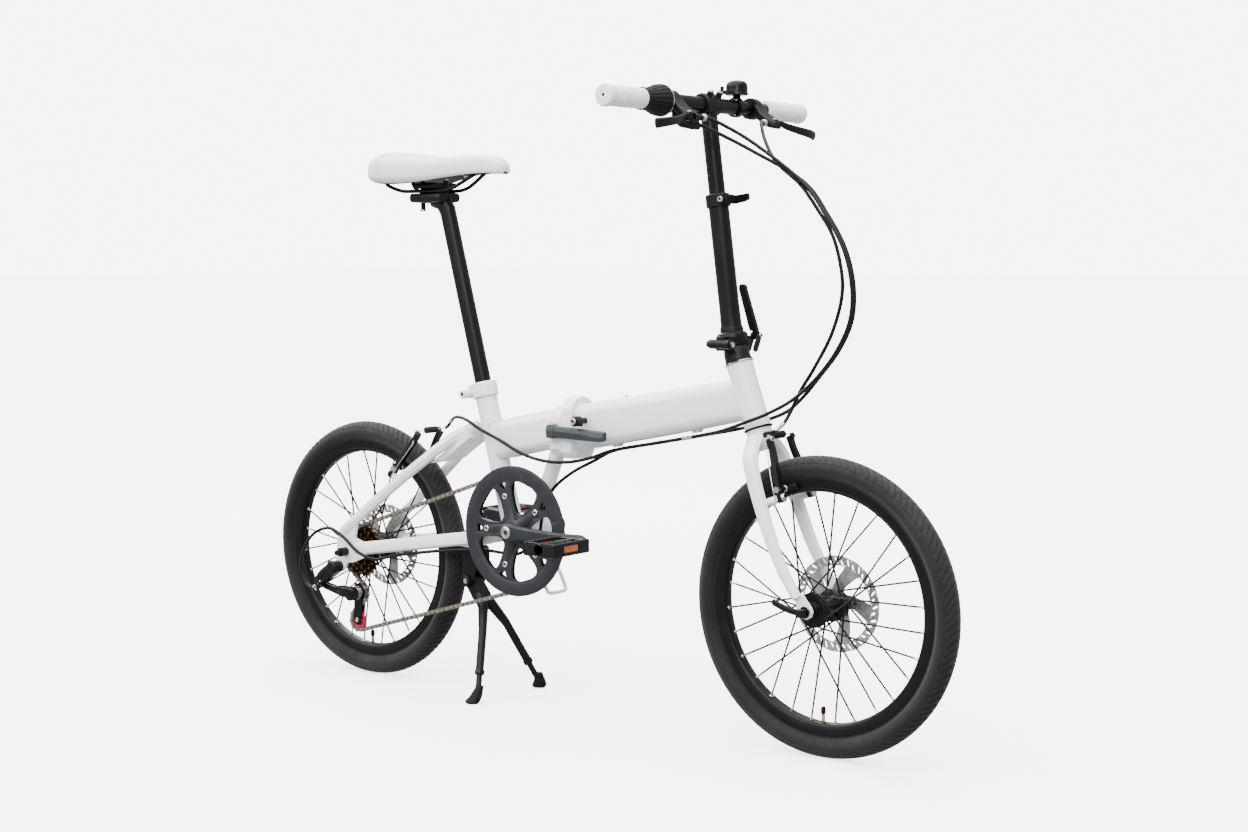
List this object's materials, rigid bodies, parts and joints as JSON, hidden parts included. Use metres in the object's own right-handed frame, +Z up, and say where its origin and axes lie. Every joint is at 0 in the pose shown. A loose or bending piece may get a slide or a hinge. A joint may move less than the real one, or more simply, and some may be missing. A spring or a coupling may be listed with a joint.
{
  "type": "folding bicycle",
  "caption": "Folding bicycle with small wheels, a hinged main beam, a fold-down handlebar post, rim brakes, derailleur gears and a centre stand",
  "frame": {"origin": "on the ground, midway along the overall length and width of the unfolded bicycle", "axes": "+X forwards, towards the front wheel; +Y to the bicycle's left; +Z up"},
  "size_m": [1.543, 0.552, 1.1115],
  "materials": {
    "axle_lever": "satin",
    "bell": "matte",
    "bell_lever": "matte",
    "brake_lever_left": "satin",
    "brake_lever_right": "satin",
    "chain": "satin",
    "chainring": "satin",
    "collar_lever": "satin",
    "crankset": "satin",
    "derailleur": "matte",
    "derailleur_cage": "matte",
    "fork": "gloss",
    "frame_fold_pin": "brushed",
    "frame_latch": "satin",
    "freewheel": "satin",
    "front_axle": "satin",
    "front_brake_arm_left": "satin",
    "front_brake_arm_right": "satin",
    "front_brake_cable": "satin",
    "front_disc": "brushed",
    "front_frame": "gloss",
    "front_hub": "satin",
    "front_rim": "satin",
    "front_tyre": "matte",
    "gear_cable": "satin",
    "grip_left": "matte",
    "grip_right": "matte",
    "handlebar": "satin",
    "jockey_lower": "gloss",
    "jockey_upper": "matte",
    "left_crank": "satin",
    "lever_bracket_left": "satin",
    "lever_bracket_right": "satin",
    "lower_post": "satin",
    "pedal_left": "matte",
    "pedal_right": "matte",
    "post_base": "satin",
    "post_collar": "satin",
    "post_latch": "satin",
    "rear_axle": "satin",
    "rear_brake_arm_left": "satin",
    "rear_brake_arm_right": "satin",
    "rear_brake_cable": "satin",
    "rear_disc": "brushed",
    "rear_frame": "gloss",
    "rear_hub": "satin",
    "rear_rim": "satin",
    "rear_stays": "gloss",
    "rear_tyre": "matte",
    "saddle_base": "matte",
    "saddle_pad": "satin",
    "saddle_rails": "satin",
    "safety_catch": "matte",
    "seat_collar": "gloss",
    "seatpost": "satin",
    "stand_bracket": "satin",
    "stand_legs": "satin",
    "twist_shifter": "matte",
    "upper_post": "satin",
    "wire_hoop": "gloss"
  },
  "bodies": {
    "rear": {"rear_frame": "rear_frame", "rear_stays": "rear_stays", "wire_hoop": "wire_hoop", "frame_fold_pin": "frame_fold_pin", "seat_collar": "seat_collar", "stand_bracket": "stand_bracket", "rear_axle": "rear_axle", "derailleur": "derailleur", "chain": "chain"},
    "front_half": {"front_frame": "front_frame", "gear_cable": "gear_cable", "rear_brake_cable": "rear_brake_cable", "front_brake_cable": "front_brake_cable"},
    "latch": {"frame_latch": "frame_latch"},
    "catch": {"safety_catch": "safety_catch"},
    "steering_unit": {"fork": "fork", "post_base": "post_base", "front_axle": "front_axle"},
    "folding_post": {"lower_post": "lower_post", "post_collar": "post_collar"},
    "bars": {"upper_post": "upper_post", "handlebar": "handlebar", "grip_left": "grip_left", "grip_right": "grip_right", "lever_bracket_left": "lever_bracket_left", "lever_bracket_right": "lever_bracket_right", "bell": "bell"},
    "post_link": {"post_latch": "post_latch"},
    "collar_cam": {"collar_lever": "collar_lever"},
    "seat": {"seatpost": "seatpost", "saddle_rails": "saddle_rails", "saddle_base": "saddle_base", "saddle_pad": "saddle_pad"},
    "cranks": {"crankset": "crankset", "chainring": "chainring", "left_crank": "left_crank"},
    "right_pedal": {"pedal_right": "pedal_right"},
    "left_pedal": {"pedal_left": "pedal_left"},
    "front_wheel": {"front_tyre": "front_tyre", "front_rim": "front_rim", "front_hub": "front_hub", "front_disc": "front_disc"},
    "rear_wheel": {"rear_tyre": "rear_tyre", "rear_rim": "rear_rim", "rear_hub": "rear_hub", "rear_disc": "rear_disc"},
    "cassette": {"freewheel": "freewheel"},
    "cage": {"derailleur_cage": "derailleur_cage"},
    "pulley_upper": {"jockey_upper": "jockey_upper"},
    "pulley_lower": {"jockey_lower": "jockey_lower"},
    "shifter": {"twist_shifter": "twist_shifter"},
    "lever_right": {"brake_lever_right": "brake_lever_right"},
    "lever_left": {"brake_lever_left": "brake_lever_left"},
    "front_arm_right": {"front_brake_arm_right": "front_brake_arm_right"},
    "front_arm_left": {"front_brake_arm_left": "front_brake_arm_left"},
    "rear_arm_right": {"rear_brake_arm_right": "rear_brake_arm_right"},
    "rear_arm_left": {"rear_brake_arm_left": "rear_brake_arm_left"},
    "stand": {"stand_legs": "stand_legs"},
    "bell_thumb": {"bell_lever": "bell_lever"},
    "quick_release": {"axle_lever": "axle_lever"}
  },
  "joints": [
    {"name": "frame_fold", "type": "hinge", "parent": "rear", "child": "front_half", "pos_m": [-0.006, 0.04, 0.51], "axis": [0, 0, 1], "range_deg": [0, 148], "deforming": ["gear_cable", "rear_brake_cable", "front_brake_cable"]},
    {"name": "frame_latch_lever", "type": "hinge", "parent": "rear", "child": "latch", "pos_m": [-0.02, -0.0455, 0.507], "axis": [0, 0, -1], "range_deg": [0, 110]},
    {"name": "safety_catch_turn", "type": "hinge", "parent": "front_half", "child": "catch", "pos_m": [0.044, -0.036, 0.5285], "axis": [0, 1, 0], "range_deg": [0, 60]},
    {"name": "steering", "type": "hinge", "parent": "front_half", "child": "steering_unit", "pos_m": [0.3544, 0, 0.638], "axis": [-0.342, 0, 0.9397], "range_deg": [-45, 45]},
    {"name": "post_fold", "type": "hinge", "parent": "steering_unit", "child": "folding_post", "pos_m": [0.3415, -0.0365, 0.6705], "axis": [1, 0, 0], "range_deg": [0, 140]},
    {"name": "post_latch_lever", "type": "hinge", "parent": "steering_unit", "child": "post_link", "pos_m": [0.359, 0.0415, 0.6835], "axis": [-1, 0, 0], "range_deg": [0, 100]},
    {"name": "post_height", "type": "slide", "parent": "folding_post", "child": "bars", "axis": [-0.1338, 0, 0.991], "range_m": [-0.1, 0.03]},
    {"name": "collar_quick_release", "type": "hinge", "parent": "folding_post", "child": "collar_cam", "pos_m": [0.32793, 0.0243, 0.90933], "axis": [-0.1338, 0, 0.991], "range_deg": [0, 120]},
    {"name": "seat_height", "type": "slide", "parent": "rear", "child": "seat", "axis": [-0.2636, 0, 0.9646], "range_m": [-0.2, 0.03]},
    {"name": "crank_spin", "type": "hinge", "parent": "rear", "child": "cranks", "pos_m": [-0.104, 0, 0.322], "axis": [0, 1, 0], "continuous": true},
    {"name": "pedal_right_spin", "type": "hinge", "parent": "cranks", "child": "right_pedal", "pos_m": [0.078, 0, 0.322], "axis": [0, 1, 0], "continuous": true},
    {"name": "pedal_left_spin", "type": "hinge", "parent": "cranks", "child": "left_pedal", "pos_m": [-0.286, 0, 0.322], "axis": [0, 1, 0], "continuous": true},
    {"name": "front_wheel_spin", "type": "hinge", "parent": "steering_unit", "child": "front_wheel", "pos_m": [0.524, 0, 0.2475], "axis": [0, 1, 0], "continuous": true},
    {"name": "rear_wheel_spin", "type": "hinge", "parent": "rear", "child": "rear_wheel", "pos_m": [-0.524, 0, 0.2475], "axis": [0, 1, 0], "continuous": true},
    {"name": "freewheel_spin", "type": "hinge", "parent": "rear", "child": "cassette", "pos_m": [-0.524, 0, 0.2475], "axis": [0, 1, 0], "continuous": true},
    {"name": "derailleur_shift", "type": "slide", "parent": "rear", "child": "cage", "axis": [0, 1, 0], "range_m": [-0.0145, 0.0145], "deforming": ["chain"]},
    {"name": "jockey_upper_spin", "type": "hinge", "parent": "cage", "child": "pulley_upper", "pos_m": [-0.515, -0.0414, 0.165], "axis": [0, 1, 0], "continuous": true},
    {"name": "jockey_lower_spin", "type": "hinge", "parent": "cage", "child": "pulley_lower", "pos_m": [-0.518, -0.0414, 0.111], "axis": [0, 1, 0], "continuous": true},
    {"name": "gear_twist", "type": "hinge", "parent": "bars", "child": "shifter", "pos_m": [0.28811, 0, 1.06601], "axis": [0, 1, 0], "range_deg": [-54, 54]},
    {"name": "brake_pull_right", "type": "hinge", "parent": "bars", "child": "lever_right", "pos_m": [0.33211, -0.111, 1.04001], "axis": [0, 0, -1], "range_deg": [0, 20], "stiffness_Nm_per_rad": 0.3},
    {"name": "brake_pull_left", "type": "hinge", "parent": "bars", "child": "lever_left", "pos_m": [0.33211, 0.133, 1.04001], "axis": [0, 0, 1], "range_deg": [0, 20], "stiffness_Nm_per_rad": 0.3},
    {"name": "front_arm_right_swing", "type": "hinge", "parent": "steering_unit", "child": "front_arm_right", "pos_m": [0.46897, -0.0435, 0.42647], "axis": [-0.9397, 0, -0.342], "range_deg": [0, 5.2]},
    {"name": "front_arm_left_swing", "type": "hinge", "parent": "steering_unit", "child": "front_arm_left", "pos_m": [0.46897, 0.0435, 0.42647], "axis": [0.9397, 0, 0.342], "range_deg": [0, 5.2]},
    {"name": "rear_arm_right_swing", "type": "hinge", "parent": "rear", "child": "rear_arm_right", "pos_m": [-0.42002, -0.0435, 0.40302], "axis": [-0.8146, 0, 0.58], "range_deg": [0, 5.2]},
    {"name": "rear_arm_left_swing", "type": "hinge", "parent": "rear", "child": "rear_arm_left", "pos_m": [-0.42002, 0.0435, 0.40302], "axis": [0.8146, 0, -0.58], "range_deg": [0, 5.2]},
    {"name": "stand_swing", "type": "hinge", "parent": "rear", "child": "stand", "pos_m": [-0.2535, 0, 0.212], "axis": [0, 1, 0], "range_deg": [0, 60]},
    {"name": "bell_flick", "type": "hinge", "parent": "bars", "child": "bell_thumb", "pos_m": [0.29611, 0.0555, 1.09001], "axis": [0, 0, 1], "range_deg": [0, 20], "stiffness_Nm_per_rad": 0.02},
    {"name": "axle_quick_release", "type": "hinge", "parent": "steering_unit", "child": "quick_release", "pos_m": [0.524, -0.069, 0.2475], "axis": [0, 0, 1], "range_deg": [0, 170]}
  ],
  "couplings": [
    {"joint": "freewheel_spin", "follows": "crank_spin", "ratio": 2.6},
    {"joint": "jockey_upper_spin", "follows": "crank_spin", "ratio": -5.2},
    {"joint": "jockey_lower_spin", "follows": "crank_spin", "ratio": 5.2},
    {"joint": "derailleur_shift", "follows": "gear_twist", "m_per_rad": 0.014642},
    {"joint": "front_arm_right_swing", "follows": "brake_pull_left", "ratio": 0.25},
    {"joint": "front_arm_left_swing", "follows": "brake_pull_left", "ratio": 0.25},
    {"joint": "rear_arm_right_swing", "follows": "brake_pull_right", "ratio": 0.25},
    {"joint": "rear_arm_left_swing", "follows": "brake_pull_right", "ratio": 0.25}
  ]
}
